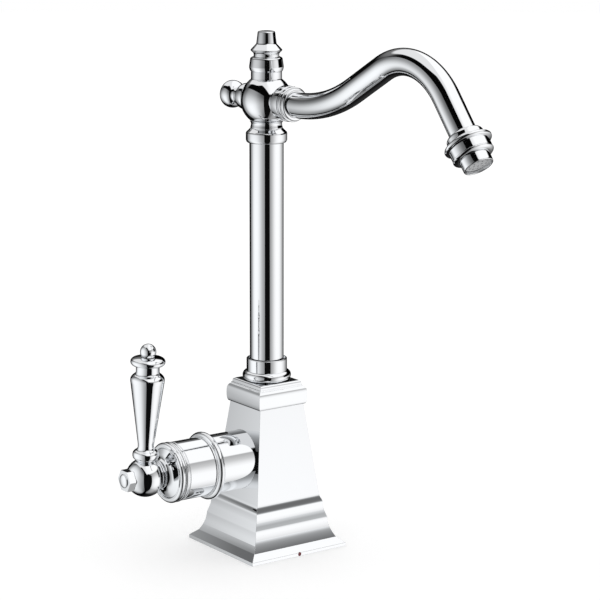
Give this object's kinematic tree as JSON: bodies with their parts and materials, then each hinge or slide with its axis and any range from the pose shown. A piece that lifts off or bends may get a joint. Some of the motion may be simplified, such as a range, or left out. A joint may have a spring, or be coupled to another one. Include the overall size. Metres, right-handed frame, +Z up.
{
  "type": "hot water faucet",
  "caption": "Chrome hot water faucet with a square bell base, a round swivelling column, an arched spout and a quarter turn side lever.",
  "frame": {"origin": "on the deck, at the centre of the square base underside, on the column axis", "axes": "+Z up along the column; the spout reaches towards -Y, which is the front; the valve and its lever stand out towards -X"},
  "size_m": [0.1082, 0.1888, 0.2474],
  "materials": {
    "chrome": "mirror polished chrome plate",
    "brass": "machined",
    "rubber": "satin black",
    "ceramic": "lapped ceramic",
    "washer_plastic": "moulded",
    "steel": "zinc plated",
    "red_enamel": "gloss enamel",
    "aerator_plastic": "moulded grey"
  },
  "bodies": {
    "base": {"base_shell": "chrome", "deck_gasket": "rubber", "base_plate": "brass", "plate_screws": "steel", "hot_dot": "red_enamel", "valve_body": "brass", "valve_housing": "chrome", "housing_ring": "chrome", "bonnet": "chrome", "cartridge_body": "brass", "cartridge_seal": "rubber", "fixed_disc": "ceramic", "foot_ring": "chrome", "swivel_nut": "chrome", "swivel_washer": "washer_plastic"},
    "handle": {"moving_disc": "ceramic", "spindle": "brass", "spindle_seal": "rubber", "lever_hub": "chrome", "hub_nut": "chrome", "lever_stud": "steel", "lever_arm": "chrome", "lever_finial": "chrome"},
    "spout": {"swivel_spigot": "brass", "swivel_seals": "rubber", "column_tube": "chrome", "column_collar": "chrome", "hub_body": "chrome", "finial_stud": "steel", "finial_sleeve": "chrome", "finial_cap": "chrome", "knob_ring": "chrome", "rear_knob": "chrome", "spout_nut": "chrome", "spout_seal": "rubber", "spout_tube": "chrome", "nozzle_body": "chrome", "aerator_seal": "rubber", "aerator_shell": "chrome", "aerator_insert": "aerator_plastic"}
  },
  "joints": [
    {"name": "spout_swivel", "type": "hinge", "parent": "base", "child": "spout", "pos_m": [0, 0, 0.0845], "axis": [0, 0, 1], "continuous": true},
    {"name": "lever_turn", "type": "hinge", "parent": "base", "child": "handle", "pos_m": [-0.0684, 0, 0.044], "axis": [1, 0, 0], "range_deg": [0, 90]}
  ]
}
